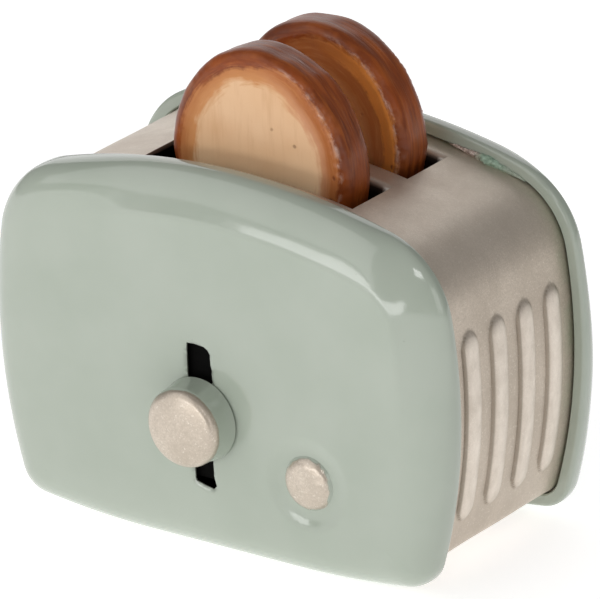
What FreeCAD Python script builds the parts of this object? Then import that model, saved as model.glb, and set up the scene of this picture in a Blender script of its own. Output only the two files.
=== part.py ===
import FreeCAD, Part
import math
import os

# Toy toaster: two pressed covers, a ribbed sheet band between them, and a lever that lifts two slices.
# Millimetres. +Z is up, +X runs across the front, -Y is the front. The origin is the centre of the
# bounding box at the surface that the covers stand on.

# Case outline, seen from the front
case_width = 50.0
case_height = 36.6
top_bow_radius = 66.3
side_bow_radius = 53.2
side_bow_height = 18.15
top_corner_radius = 8.9
bottom_corner_radius = 3.45
standing_half_width = 8.0
bottom_bow_radius = 90.0

# Pressed covers
case_depth = 27.2
cover_depth = 3.9
cover_sheet = 0.5
face_edge_radius = 2.9
rim_edge_radius = 0.5
rim_opening_inset = 1.25

# Sheet band between the covers
band_sheet = 0.45
band_inset = 1.4
band_flange_inset = 0.65
band_return_length = 10.0
slot_length = 23.6
slot_width = 5.6
slot_bridge = 3.0
slot_setback = 0.3
slot_bend_radius = 0.6
slot_lip_depth = 2.2
rib_count = 4
rib_pitch = 4.3
rib_width = 2.0
rib_height = 0.55
rib_low = 6.8
rib_high = 24.4

# Lever slot, knob and pressed button in the front cover
lever_slot_width = 2.1
lever_slot_lean = 0.55
lever_slot_low = 6.6
lever_slot_high = 20.4
lever_slot_nibble = 0.2
nibbled_heights = [(0.12, 0), (0.5, 1), (0.7, 0), (0.74, 1), (0.94, 0)]
lever_x = -0.9
lever_z = 13.3
knob_radius = 4.0
knob_flare = 0.2
knob_reach = 3.65
knob_dome = 0.5
knob_edge_radius = 0.9
knob_gap = 0.15
stem_width = 1.9
stem_height = 3.0
button_x = 10.5
button_z = 9.7
button_radius = 2.4
button_height = 0.7
dish_radius = 4.2
dish_depth = 0.45
flank_slope = 1.6
flank_soft_reach = 0.45
flank_soft_height = 0.72

# Slices of toast
toast_thickness = 4.5
toast_height = 23.2
toast_width = 19.7
toast_waist_width = 18.9
toast_waist_height = 9.0
toast_crown_share = 0.457
toast_shoulder_share = 0.569
toast_foot_radius = 2.0
toast_face_edge = 0.5
toast_front_x = 0.75
toast_back_x = 1.0

# Carriage inside the case
tray_sheet = 0.5
tray_bend = 0.6
tray_length = 17.0
tray_floor = 23.2
tray_lip_height = 2.4
tray_ridge_height = 2.0
tray_clearance = 0.3
plate_sheet = 0.5
plate_width = 7.0
plate_drop = 15.0
washer_sheet = 0.2
washer_radius = 3.3
washer_gap = 0.05
rivet_radius = 0.55
rivet_head_radius = 1.0
rivet_head_height = 0.35
rivet_spacing = 4.0

# Guides for the carriage, and the plate that closes the case below
rod_radius = 0.6
rod_spread = 7.0
rod_head_radius = 1.1
rod_head_height = 0.4
bush_wall = 0.35
bush_flange_radius = 1.4
bush_flange_height = 0.3
bush_length = 2.4
running_clearance = 0.05
seat_clearance = 0.02
bracket_sheet = 0.7
bracket_half_length = 9.0
plate_overlap = 4.0
base_sheet = 0.5
base_rivet_inset = 2.0
base_rivet_spread = 6.0
joint_clearance = 0.2
cut_past = 1.0
seam_tolerance = 1e-5

# Places that follow from the sizes above
half_width = case_width / 2
mid_y = knob_reach / 2
front_y = mid_y - case_depth / 2
back_y = mid_y + case_depth / 2
front_rim_y = front_y + cover_depth
back_rim_y = back_y - cover_depth
band_front_y = front_rim_y - cover_sheet - band_sheet
band_back_y = back_rim_y + cover_sheet + band_sheet
band_inner_inset = band_inset + band_sheet
band_return_half_gap = half_width - band_return_length
slot_offset = (slot_bridge + slot_width) / 2
rod_y = mid_y + slot_setback
front_toast_y = rod_y - slot_offset
back_toast_y = rod_y + slot_offset
toast_top_radius = toast_crown_share * toast_width
toast_shoulder_radius = toast_shoulder_share * toast_width
under_case = -case_height / 4
low_quarter = case_height / 4
top_axis_z = case_height - top_bow_radius
side_axis_x = half_width - side_bow_radius


def vec(x, y, z):
    return FreeCAD.Vector(x, y, z)


def side_of_two_circles(centre_a, radius_a, centre_b, radius_b, up):
    # The point at the two given distances that lies furthest out at the right, above or below the centres
    ax, az = centre_a
    bx, bz = centre_b
    gap = math.hypot(bx - ax, bz - az)
    along = (radius_a ** 2 - radius_b ** 2 + gap ** 2) / (2 * gap)
    across = math.sqrt(radius_a ** 2 - along ** 2)
    ux, uz = (bx - ax) / gap, (bz - az) / gap
    mx, mz = ax + along * ux, az + along * uz
    ends = [(mx - across * uz, mz + across * ux), (mx + across * uz, mz - across * ux)]
    return max(ends, key=lambda p: p[0] + up * p[1])


def on_line(start, through, distance):
    # The point at a distance from start, in the direction of through
    dx, dz = through[0] - start[0], through[1] - start[1]
    length = math.hypot(dx, dz)
    return (start[0] + dx * distance / length, start[1] + dz * distance / length)


def case_outline(inset, y):
    # Closed wire of the case outline, moved inwards by inset, in the plane at y
    top = (0.0, top_axis_z)
    side = (side_axis_x, side_bow_height)
    bottom = (standing_half_width, bottom_bow_radius)
    upper = side_of_two_circles(top, top_bow_radius - top_corner_radius,
                                side, side_bow_radius - top_corner_radius, 1)
    lower = side_of_two_circles(bottom, bottom_bow_radius - bottom_corner_radius,
                                side, side_bow_radius - bottom_corner_radius, -1)
    joins = [on_line(top, upper, top_bow_radius - inset),
             on_line(side, upper, side_bow_radius - inset),
             on_line(side, lower, side_bow_radius - inset),
             on_line(bottom, lower, bottom_bow_radius - inset)]
    half = top_corner_radius - inset
    low_half = bottom_corner_radius - inset

    def middle(centre, radius, a, b):
        return on_line(centre, ((a[0] + b[0]) / 2, (a[1] + b[1]) / 2), radius)

    foot = (standing_half_width, inset)
    right = [(joins[0], middle(upper, half, joins[0], joins[1]), joins[1]),
             (joins[1], middle(side, side_bow_radius - inset, joins[1], joins[2]), joins[2]),
             (joins[2], middle(lower, low_half, joins[2], joins[3]), joins[3]),
             (joins[3], middle(bottom, bottom_bow_radius - inset, joins[3], foot), foot)]
    left = [((-c[0], c[1]), (-b[0], b[1]), (-a[0], a[1])) for a, b, c in reversed(right)]
    crown = (left[-1][2], (0.0, case_height - inset), right[0][0])
    edges = []
    for a, b, c in right + left + [crown]:
        edges.append(Part.Arc(vec(a[0], y, a[1]), vec(b[0], y, b[1]), vec(c[0], y, c[1])).toShape())
    edges.insert(4, Part.LineSegment(vec(foot[0], y, inset), vec(-foot[0], y, inset)).toShape())
    return Part.Wire(edges)


def case_prism(inset, y_from, y_to):
    return Part.Face(case_outline(inset, y_from)).extrude(vec(0, y_to - y_from, 0))


def edges_in_plane(shape, y):
    found = []
    for edge in shape.Edges:
        box = edge.BoundBox
        if abs(box.YMin - y) < 1e-6 and abs(box.YMax - y) < 1e-6:
            found.append(edge)
    return found


def block(x_from, x_to, y_from, y_to, z_from, z_to):
    return Part.makeBox(x_to - x_from, y_to - y_from, z_to - z_from, vec(x_from, y_from, z_from))


def rod(radius, length, base, direction):
    return Part.makeCylinder(radius, length, base, direction)


def bent_sheet(points, bend, thickness, width_from, width_to):
    # A strip of sheet along X. points are the (y, z) corners of its middle line, rounded by bend
    corners = [vec(width_from, y, z) for y, z in points]
    edges = []
    start = corners[0]
    for before, corner, after in zip(corners, corners[1:], corners[2:]):
        arrive = (before - corner).normalize()
        leave = (after - corner).normalize()
        half_angle = math.acos(max(-1.0, min(1.0, arrive.dot(leave)))) / 2
        setback = bend / math.tan(half_angle)
        centre = corner + (arrive + leave).normalize() * (bend / math.sin(half_angle))
        first = corner + arrive * setback
        last = corner + leave * setback
        between = centre + (corner - centre).normalize() * bend
        edges.append(Part.LineSegment(start, first).toShape())
        edges.append(Part.Arc(first, between, last).toShape())
        start = last
    edges.append(Part.LineSegment(start, corners[-1]).toShape())
    section = Part.Wire(edges).makeOffset2D(thickness / 2, 0, False, False, False)
    return Part.Face(section).extrude(vec(width_to - width_from, 0, 0))


def pressed_cover(face_y, rim_y):
    # A drawn pan: rounded face edge, rolled rim, and a rim flange that turns in towards the band
    inwards = 1 if rim_y > face_y else -1
    outer = case_prism(0, face_y, rim_y)
    outer = outer.makeFillet(face_edge_radius, edges_in_plane(outer, face_y))
    outer = outer.makeFillet(rim_edge_radius, edges_in_plane(outer, rim_y))
    hollow_face_y = face_y + inwards * cover_sheet
    hollow = case_prism(cover_sheet, hollow_face_y, rim_y - inwards * cover_sheet)
    hollow = hollow.makeFillet(face_edge_radius - cover_sheet, edges_in_plane(hollow, hollow_face_y))
    opening = case_prism(rim_opening_inset, rim_y - inwards * 2 * cover_sheet, rim_y + inwards * cut_past)
    return outer, hollow, opening


def lens(radius, depth, sheet_y, outwards):
    # A flat-bottomed shallow dish or boss about the button's axis, with a rounded flank
    flank = depth * flank_slope
    profile = [vec(0, 0, 0), vec(radius, 0, 0), vec(radius - flank, depth, 0), vec(0, depth, 0)]
    soft = vec(radius - flank * flank_soft_reach, depth * flank_soft_height, 0)
    edges = [Part.LineSegment(profile[0], profile[1]).toShape(),
             Part.Arc(profile[1], soft, profile[2]).toShape(),
             Part.LineSegment(profile[2], profile[3]).toShape(),
             Part.LineSegment(profile[3], profile[0]).toShape()]
    solid = Part.Face(Part.Wire(edges)).revolve(vec(0, 0, 0), vec(0, 1, 0), 360)
    if outwards:
        solid = solid.mirror(vec(0, 0, 0), vec(0, 1, 0))
    solid.translate(vec(button_x, sheet_y, button_z))
    return solid


def lever_slot(y_from, y_to):
    # Punched slot. Its left edge is straight and leans outwards, and its right edge and ends are nibbled
    left = lever_x - lever_slot_width / 2
    right = lever_x + lever_slot_width / 2
    span = lever_slot_high - lever_slot_low
    nibble = lever_slot_nibble
    points = [(left, lever_slot_low + nibble), (right - nibble, lever_slot_low),
              (right + nibble, lever_slot_low + 2 * nibble)]
    for share, out in nibbled_heights:
        points.append((right + out * nibble, lever_slot_low + share * span))
    points += [(right - 3 * nibble, lever_slot_high - nibble), (left - lever_slot_lean, lever_slot_high)]
    wire = Part.makePolygon([vec(x, y_from, z) for x, z in points + points[:1]])
    return Part.Face(wire).extrude(vec(0, y_to - y_from, 0))


def front_cover():
    outer, hollow, opening = pressed_cover(front_y, front_rim_y)
    dish_floor = front_y + dish_depth
    hollow = hollow.cut(lens(dish_radius + cover_sheet / 2, dish_depth, front_y + cover_sheet, False))
    hollow = hollow.fuse(lens(button_radius - cover_sheet / 2, button_height, dish_floor + cover_sheet, True))
    outer = outer.cut(lens(dish_radius, dish_depth, front_y, False))
    outer = outer.fuse(lens(button_radius, button_height, dish_floor, True))
    cover = outer.cut(hollow).cut(opening)
    return cover.cut(lever_slot(front_y - cover_sheet, front_y + 2 * cover_sheet))


def back_cover():
    outer, hollow, opening = pressed_cover(back_y, back_rim_y)
    return outer.cut(hollow).cut(opening)


def rib_bar(side, y, skin):
    # A round bar bent to the side bow, with ball ends. Its crown stands rib_height proud of the band
    radius = (rib_width ** 2 / 4 + rib_height ** 2) / (2 * rib_height)
    bar_bow = side_bow_radius - band_inset + rib_height - radius
    low = math.asin((rib_low + rib_width / 2 - side_bow_height) / bar_bow)
    high = math.asin((rib_high - rib_width / 2 - side_bow_height) / bar_bow)
    bar_radius = radius - skin
    circle = Part.Circle(vec(bar_bow, 0, 0), vec(0, 0, 1), bar_radius)
    section = Part.Face(Part.Wire(circle.toShape()))
    section.rotate(vec(0, 0, 0), vec(0, 1, 0), -math.degrees(low))
    bar = section.revolve(vec(0, 0, 0), vec(0, 1, 0), -math.degrees(high - low))
    ends = []
    for angle in (low, high):
        ends.append(Part.makeSphere(bar_radius, vec(bar_bow * math.cos(angle), 0, bar_bow * math.sin(angle))))
    bar = bar.fuse(ends)
    bar.translate(vec(side_axis_x, y, side_bow_height))
    if side < 0:
        bar = bar.mirror(vec(0, 0, 0), vec(1, 0, 0))
    return bar


def rib_places():
    for side in (-1, 1):
        for index in range(rib_count):
            yield side, mid_y + (index - (rib_count - 1) / 2) * rib_pitch


def slot_lip(edge_y, away):
    # The long edge of a bread slot, folded down along the top bow. away points from the slot into the sheet
    outer = top_bow_radius - band_inset
    bend = slot_bend_radius
    inner_bend = bend - band_sheet
    flat_y = edge_y + away * bend
    start = [(flat_y, outer), (edge_y, outer - bend), (edge_y, outer - slot_lip_depth)]
    back = [(edge_y + away * band_sheet, outer - slot_lip_depth),
            (edge_y + away * band_sheet, outer - bend), (flat_y, outer - band_sheet)]
    diagonal = math.sqrt(0.5)
    bend_out = (flat_y - away * bend * diagonal, outer - bend + bend * diagonal)
    bend_in = (flat_y - away * inner_bend * diagonal, outer - bend + inner_bend * diagonal)
    p = [vec(0, y, r) for y, r in start + back]
    edges = [Part.Arc(p[0], vec(0, *bend_out), p[1]).toShape(),
             Part.LineSegment(p[1], p[2]).toShape(),
             Part.LineSegment(p[2], p[3]).toShape(),
             Part.LineSegment(p[3], p[4]).toShape(),
             Part.Arc(p[4], vec(0, *bend_in), p[5]).toShape(),
             Part.LineSegment(p[5], p[0]).toShape()]
    reach = math.degrees(math.asin(slot_length / 2 / outer))
    section = Part.Face(Part.Wire(edges))
    section.rotate(vec(0, 0, 0), vec(0, 1, 0), -reach)
    lip = section.revolve(vec(0, 0, 0), vec(0, 1, 0), 2 * reach)
    lip.translate(vec(0, 0, top_axis_z))
    return lip


def slot_cut(centre_y):
    # The window in the band, wide enough for the bends of both folded edges
    outer = top_bow_radius - band_inset
    reach = math.asin(slot_length / 2 / outer)
    half = slot_width / 2 + slot_bend_radius
    low, high = outer - 2 * slot_bend_radius, outer + slot_bend_radius
    near, far = centre_y - half, centre_y + half
    corners = [(low, near), (high, near), (high, far), (low, far)]
    wire = Part.makePolygon([vec(0, y, r) for r, y in corners + corners[:1]])
    section = Part.Face(wire)
    section.rotate(vec(0, 0, 0), vec(0, 1, 0), -math.degrees(reach))
    window = section.revolve(vec(0, 0, 0), vec(0, 1, 0), 2 * math.degrees(reach))
    window.translate(vec(0, 0, top_axis_z))
    return window


def through_band(inset):
    # The case outline moved inwards by inset, run past both ends of the band
    return case_prism(inset, band_front_y - cut_past, band_back_y + cut_past)


def body_shell():
    skin = case_prism(band_inset, band_front_y, band_back_y)
    middle = through_band(band_inset + band_sheet / 2)
    inside = through_band(band_inner_inset + band_sheet)
    crowns = [rib_bar(side, y, 0).cut(middle) for side, y in rib_places()]
    grooves = [rib_bar(side, y, band_sheet).cut(inside) for side, y in rib_places()]
    skin = skin.fuse(crowns, seam_tolerance)
    for y in (band_front_y, band_back_y - band_sheet):
        skin = skin.fuse(case_prism(band_flange_inset, y, y + band_sheet))
    shell = skin.cut(through_band(band_inner_inset)).cut(grooves)
    shell = shell.cut(block(-band_return_half_gap, band_return_half_gap, front_y, back_y,
                            under_case, band_inner_inset + bottom_corner_radius))
    for centre_y in (front_toast_y, back_toast_y):
        shell = shell.cut(slot_cut(centre_y))
        for away in (-1, 1):
            shell = shell.fuse(slot_lip(centre_y + away * slot_width / 2, away))
    for x, y in base_rivet_places():
        shell = shell.cut(rod(rivet_radius, low_quarter, vec(x, y, 0), vec(0, 0, 1)))
    return shell.removeSplitter()


def base_height(x):
    # Height of the base plate's upper face at x
    radius = bottom_bow_radius - band_inner_inset - base_sheet
    out = max(0.0, abs(x) - standing_half_width)
    return bottom_bow_radius - math.sqrt(radius ** 2 - out ** 2)


def base_rivet_places():
    for side in (-1, 1):
        for turn in (-1, 1):
            yield side * (band_return_half_gap + base_rivet_inset), mid_y + turn * base_rivet_spread


def base_plate():
    # Lies on the band's two returns and closes the gap between them, with its own flanges behind the rims
    reach = band_return_half_gap + plate_overlap
    clear = band_return_half_gap - joint_clearance
    plate = case_prism(band_inner_inset, band_front_y, band_back_y)
    plate = plate.cut(through_band(band_inner_inset + base_sheet))
    plate = plate.common(block(-reach, reach, front_y, back_y, 0, low_quarter))
    for y in (band_front_y, band_back_y - band_sheet):
        flange = case_prism(band_flange_inset, y, y + band_sheet)
        flange = flange.cut(through_band(band_inner_inset + base_sheet))
        plate = plate.fuse(flange.common(block(-clear, clear, front_y, back_y, 0, low_quarter)))
    for side in (-1, 1):
        plate = plate.cut(rod(rod_radius + seat_clearance, low_quarter,
                              vec(side * rod_spread, rod_y, 0), vec(0, 0, 1)))
    for x, y in base_rivet_places():
        plate = plate.cut(rod(rivet_radius, low_quarter, vec(x, y, 0), vec(0, 0, 1)))
    return plate.removeSplitter()


def base_rivets():
    # Shanks through the plate and the return, with a domed head above and one below
    rivets = []
    for x, y in base_rivet_places():
        top = base_height(abs(x) + rivet_head_radius)
        low = base_height(abs(x) - rivet_head_radius) - base_sheet - band_sheet - seat_clearance
        shank = rod(rivet_radius, top - low, vec(x, y, low), vec(0, 0, 1))
        upper = rod(rivet_head_radius, rivet_head_height, vec(x, y, top), vec(0, 0, 1))
        lower = rod(rivet_head_radius, rivet_head_height, vec(x, y, low - rivet_head_height), vec(0, 0, 1))
        rivets.append(shank.fuse([upper, lower]).removeSplitter())
    return Part.makeCompound(rivets)


def bridge_underside(x):
    radius = top_bow_radius - band_inner_inset
    return top_axis_z + math.sqrt(radius ** 2 - x ** 2)


def rod_bracket():
    # Curved strip under the flat stretch of the bridge between the bread slots
    outer = top_bow_radius - band_inner_inset
    half = slot_bridge / 2 - slot_bend_radius
    ring = rod(outer, 2 * half, vec(0, rod_y - half, top_axis_z), vec(0, 1, 0))
    ring = ring.cut(rod(outer - bracket_sheet, 2 * (half + cut_past),
                        vec(0, rod_y - half - cut_past, top_axis_z), vec(0, 1, 0)))
    strip = ring.common(block(-bracket_half_length, bracket_half_length, front_y, back_y,
                              case_height / 2, case_height))
    for side in (-1, 1):
        strip = strip.cut(rod(rod_radius + seat_clearance, case_height,
                              vec(side * rod_spread, rod_y, 0), vec(0, 0, 1)))
    return strip


def guide_rod(side):
    # Headed below the base plate, seated in the bracket above
    low = base_height(rod_spread) - base_sheet
    top = bridge_underside(rod_spread + rod_radius) - seat_clearance
    x = side * rod_spread
    bar = rod(rod_radius, top - low, vec(x, rod_y, low), vec(0, 0, 1))
    head = rod(rod_head_radius, rod_head_height, vec(x, rod_y, low - rod_head_height), vec(0, 0, 1))
    head = head.makeFillet(rod_head_height / 2, edges_at_height(head, low - rod_head_height))
    return bar.fuse(head).removeSplitter()


def edges_at_height(shape, z):
    found = []
    for edge in shape.Edges:
        box = edge.BoundBox
        if abs(box.ZMin - z) < 1e-6 and abs(box.ZMax - z) < 1e-6:
            found.append(edge)
    return found


def tray_rivet_places():
    for side in (-1, 1):
        yield lever_x + side * rivet_spacing / 2, front_toast_y


def toast_tray():
    # One pressed strip: a trough under each slice, an upturned lip at each end, and a ridge between
    middle = tray_floor - tray_sheet / 2
    ridge = slot_offset - toast_thickness / 2 - tray_clearance - tray_sheet / 2
    lip = slot_offset + toast_thickness / 2 + tray_clearance + tray_sheet / 2
    profile = [(-lip, middle + tray_lip_height), (-lip, middle), (-ridge, middle),
               (-ridge, middle + tray_ridge_height), (ridge, middle + tray_ridge_height),
               (ridge, middle), (lip, middle), (lip, middle + tray_lip_height)]
    places = [(rod_y + y, z) for y, z in profile]
    tray = bent_sheet(places, tray_bend, tray_sheet, -tray_length / 2, tray_length / 2)
    for x, y in tray_rivet_places():
        tray = tray.cut(rod(rivet_radius, tray_floor, vec(x, y, 0), vec(0, 0, 1)))
        tray = tray.cut(rivet_countersink(x, y))
    for side in (-1, 1):
        tray = tray.cut(rod(rod_radius + running_clearance + bush_wall, case_height,
                            vec(side * rod_spread, rod_y, 0), vec(0, 0, 1)))
    return tray


def rivet_countersink(x, y):
    base = vec(x, y, tray_floor - tray_sheet)
    return Part.makeCone(rivet_radius, rivet_head_radius, tray_sheet, base, vec(0, 0, 1))


def tray_rivets():
    # Flush above, so that the slice lies flat, and headed below the lever plate's arm
    rivets = []
    low = tray_floor - tray_sheet - plate_sheet
    for x, y in tray_rivet_places():
        shank = rod(rivet_radius, tray_sheet + plate_sheet, vec(x, y, low), vec(0, 0, 1))
        head = rod(rivet_head_radius, rivet_head_height, vec(x, y, low - rivet_head_height), vec(0, 0, 1))
        rivets.append(shank.fuse([rivet_countersink(x, y), head]).removeSplitter())
    return Part.makeCompound(rivets)


def plate_face_y():
    # Front face of the lever plate, behind the friction washer
    return front_y + cover_sheet + washer_gap + washer_sheet


def lever_plate():
    # Slides behind the front cover. Its arm turns back under the tray
    front = plate_face_y() + plate_sheet / 2
    top = tray_floor - tray_sheet - plate_sheet / 2
    back = front_toast_y + 2 * rivet_head_radius
    points = [(front, top - plate_drop), (front, top), (back, top)]
    plate = bent_sheet(points, tray_bend, plate_sheet, lever_x - plate_width / 2, lever_x + plate_width / 2)
    for x, y in tray_rivet_places():
        plate = plate.cut(rod(rivet_radius, tray_floor, vec(x, y, 0), vec(0, 0, 1)))
    return plate.cut(stem_block(plate_face_y() - plate_sheet, plate_face_y() + 2 * plate_sheet))


def stem_block(y_from, y_to):
    return block(lever_x - stem_width / 2, lever_x + stem_width / 2, y_from, y_to,
                 lever_z - stem_height / 2, lever_z + stem_height / 2)


def friction_washer():
    low_y = front_y + cover_sheet + washer_gap
    washer = rod(washer_radius, washer_sheet, vec(lever_x, low_y, lever_z), vec(0, 1, 0))
    return washer.cut(stem_block(low_y - cut_past, low_y + cut_past))


def lever_stem():
    # Flat tongue from inside the knob to the back of the lever plate, where it is peened over
    start = front_y - knob_reach / 2
    end = plate_face_y() + plate_sheet
    tongue = stem_block(start, end)
    peen = block(lever_x - stem_width / 2 - plate_sheet, lever_x + stem_width / 2 + plate_sheet,
                 end, end + plate_sheet, lever_z - stem_height / 2, lever_z + stem_height / 2)
    return tongue.fuse(peen).removeSplitter()


def lever_knob():
    # A turned knob: slightly flared foot, drum, rounded edge and a low dome
    base = -knob_gap
    drum = -(knob_reach - knob_dome - knob_edge_radius)
    crown = drum - knob_edge_radius
    rim = knob_radius - knob_edge_radius
    diagonal = math.sqrt(0.5) * knob_edge_radius
    foot = knob_radius + knob_flare
    dome_radius = (rim ** 2 + knob_dome ** 2) / (2 * knob_dome)
    half_x = rim / 2
    half_y = -knob_reach + dome_radius - math.sqrt(dome_radius ** 2 - half_x ** 2)
    edges = [Part.LineSegment(vec(0, base, 0), vec(foot, base, 0)).toShape(),
             Part.LineSegment(vec(foot, base, 0), vec(knob_radius, drum, 0)).toShape(),
             Part.Arc(vec(knob_radius, drum, 0), vec(rim + diagonal, drum - diagonal, 0),
                      vec(rim, crown, 0)).toShape(),
             Part.Arc(vec(rim, crown, 0), vec(half_x, half_y, 0), vec(0, -knob_reach, 0)).toShape(),
             Part.LineSegment(vec(0, -knob_reach, 0), vec(0, base, 0)).toShape()]
    knob = Part.Face(Part.Wire(edges)).revolve(vec(0, 0, 0), vec(0, 1, 0), 360)
    knob.translate(vec(lever_x, front_y, lever_z))
    return knob.cut(stem_block(front_y - knob_reach / 2, front_y))


def guide_bushes():
    # Flanged bushes pressed into the tray's ridge, one on each rod
    bushes = []
    barrel_radius = rod_radius + running_clearance + bush_wall
    ridge_top = tray_floor + tray_ridge_height
    for side in (-1, 1):
        x = side * rod_spread
        low = ridge_top - bush_length
        barrel = rod(barrel_radius, bush_length, vec(x, rod_y, low), vec(0, 0, 1))
        flange = rod(bush_flange_radius, bush_flange_height, vec(x, rod_y, ridge_top), vec(0, 0, 1))
        bore = rod(rod_radius + running_clearance, case_height, vec(x, rod_y, 0), vec(0, 0, 1))
        bushes.append(barrel.fuse(flange).removeSplitter().cut(bore))
    return Part.makeCompound(bushes)


def toast_slice(centre_x, centre_y):
    # Round-topped loaf outline: crown, shoulders, a slight waist and small feet
    half = toast_width / 2
    waist = toast_waist_width / 2
    front = centre_y - toast_thickness / 2
    foot_z = toast_foot_radius
    crown_z = toast_height - toast_top_radius
    apart = toast_top_radius - toast_shoulder_radius
    turn = math.acos((half - toast_shoulder_radius) / apart)
    shoulder = (apart * math.cos(turn), crown_z + apart * math.sin(turn))
    join = (toast_top_radius * math.cos(turn), crown_z + toast_top_radius * math.sin(turn))
    outer = (half, shoulder[1])
    corner = on_line(shoulder, ((join[0] + outer[0]) / 2, (join[1] + outer[1]) / 2), toast_shoulder_radius)
    low_waist = (waist, toast_waist_height)
    bow = ((half + waist) / 2 + (half - waist) / 4, (outer[1] + toast_waist_height) / 2)
    round_foot = (waist - foot_z + foot_z * math.sqrt(0.5), foot_z - foot_z * math.sqrt(0.5))
    sole = (waist - foot_z, 0)
    base = tray_floor

    def at(point, mirror=1):
        return vec(centre_x + mirror * point[0], front, base + point[1])

    edges = []
    for m in (1, -1):
        edges.append(Part.Arc(at(join, m), at(corner, m), at(outer, m)).toShape())
        edges.append(Part.Arc(at(outer, m), at(bow, m), at(low_waist, m)).toShape())
        edges.append(Part.LineSegment(at(low_waist, m), at((waist, foot_z), m)).toShape())
        edges.append(Part.Arc(at((waist, foot_z), m), at(round_foot, m), at(sole, m)).toShape())
    edges.append(Part.LineSegment(at(sole), at(sole, -1)).toShape())
    edges.append(Part.Arc(at(join), at((0.0, toast_height)), at(join, -1)).toShape())
    outline = Part.Wire(Part.sortEdges(edges)[0])
    slice_solid = Part.Face(outline).extrude(vec(0, toast_thickness, 0))
    rims = edges_in_plane(slice_solid, front) + edges_in_plane(slice_solid, front + toast_thickness)
    return slice_solid.makeChamfer(toast_face_edge, rims)


nodes = {
    "front_cover": front_cover(),
    "back_cover": back_cover(),
    "body_shell": body_shell(),
    "base_plate": base_plate(),
    "base_rivets": base_rivets(),
    "rod_bracket": rod_bracket(),
    "guide_rod_left": guide_rod(-1),
    "guide_rod_right": guide_rod(1),
    "lever_knob": lever_knob(),
    "lever_stem": lever_stem(),
    "friction_washer": friction_washer(),
    "lever_plate": lever_plate(),
    "toast_tray": toast_tray(),
    "tray_rivets": tray_rivets(),
    "guide_bushes": guide_bushes(),
    "toast_front": toast_slice(toast_front_x, front_toast_y),
    "toast_back": toast_slice(toast_back_x, back_toast_y),
}

os.makedirs("parts", exist_ok=True)
for name, shape in nodes.items():
    shape.exportStep("parts/" + name + ".step")
    box = shape.BoundBox
    print(name, len(shape.Solids), "solids", shape.isValid(), round(shape.Volume, 3),
          [round(v, 2) for v in (box.XMin, box.XMax, box.YMin, box.YMax, box.ZMin, box.ZMax)])
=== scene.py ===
# Toy toaster: enamelled covers, lacquered band, painted toast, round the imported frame.
# Shapes are worked out in millimetres and go into the meshes in metres.
import math
import bmesh
import bpy
import numpy as np
from mathutils import Matrix, Vector


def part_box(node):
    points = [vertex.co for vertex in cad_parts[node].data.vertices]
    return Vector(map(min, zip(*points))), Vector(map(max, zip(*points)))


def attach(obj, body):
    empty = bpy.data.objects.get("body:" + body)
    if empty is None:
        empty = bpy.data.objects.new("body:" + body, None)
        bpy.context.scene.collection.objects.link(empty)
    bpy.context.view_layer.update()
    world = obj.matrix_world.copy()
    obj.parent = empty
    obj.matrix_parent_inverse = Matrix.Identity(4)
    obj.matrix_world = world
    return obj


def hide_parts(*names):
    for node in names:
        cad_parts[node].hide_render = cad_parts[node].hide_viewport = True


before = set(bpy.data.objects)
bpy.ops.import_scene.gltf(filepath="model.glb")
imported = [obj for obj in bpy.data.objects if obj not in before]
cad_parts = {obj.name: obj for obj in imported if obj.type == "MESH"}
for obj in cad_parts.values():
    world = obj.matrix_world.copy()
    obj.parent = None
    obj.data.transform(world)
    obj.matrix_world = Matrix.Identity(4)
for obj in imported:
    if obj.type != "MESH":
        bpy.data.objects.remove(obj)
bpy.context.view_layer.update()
print("frame loaded")

milli = 0.001
coverLow, coverHigh = [np.array(c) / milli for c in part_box("front_cover")]
backLow, backHigh = [np.array(c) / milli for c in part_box("back_cover")]
bandLow, bandHigh = [np.array(c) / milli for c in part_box("body_shell")]
midY = (bandLow[1] + bandHigh[1]) / 2

case = {
    "halfWidth": (coverHigh[0] - coverLow[0]) / 2,
    "height": coverHigh[2],
    "topBow": 66.3,
    "sideBow": 53.2,
    "sideBowHeight": 18.15,
    "topCorner": 8.9,
    "bottomCorner": 3.45,
    "standHalf": 8.0,
    "bottomBow": 90.0,
}


# mesh helpers

def newObject(name, verts, faces, body, smooth=True):
    # verts in mm, faces as index lists
    mesh = bpy.data.meshes.new(name)
    mesh.from_pydata((np.asarray(verts) * milli).tolist(), [], faces)
    mesh.validate()
    mesh.update()
    mesh.polygons.foreach_set("use_smooth", [smooth] * len(mesh.polygons))
    obj = bpy.data.objects.new(name, mesh)
    bpy.context.scene.collection.objects.link(obj)
    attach(obj, body)
    return obj


def gridFaces(rows, cols, wrapRows=False, wrapCols=False, keep=None):
    # quads of a rows x cols grid of points; keep is a mask of the quads that stay
    i = np.arange(rows if wrapRows else rows - 1)
    j = np.arange(cols if wrapCols else cols - 1)
    i, j = np.meshgrid(i, j, indexing="ij")
    if keep is not None:
        i, j = i[keep], j[keep]
    i2, j2 = (i + 1) % rows, (j + 1) % cols
    quads = np.stack([i * cols + j, i2 * cols + j, i2 * cols + j2, i * cols + j2], -1)
    return quads.reshape(-1, 4)


def smoothStep(low, high, x):
    # cubic step from 0 at low to 1 at high
    t = np.clip((np.asarray(x, float) - low) / (high - low), 0, 1)
    return t * t * (3 - 2 * t)


def waves(points, scale, seed, octaves=3):
    # sum of tilted sine waves with seeded directions: a smooth value near -1..1 at each point
    rng = np.random.default_rng(seed)
    points = np.asarray(points, float)
    total = np.zeros(len(points))
    for octave in range(octaves):
        step = scale / 1.9 ** octave
        for _ in range(5):
            way = rng.normal(size=points.shape[1])
            way /= np.linalg.norm(way)
            total += np.sin(points @ way * 2 * np.pi / step + rng.uniform(0, 6.28)) * 0.62 ** octave
    return total / (5 ** 0.5 * 1.6)


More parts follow.
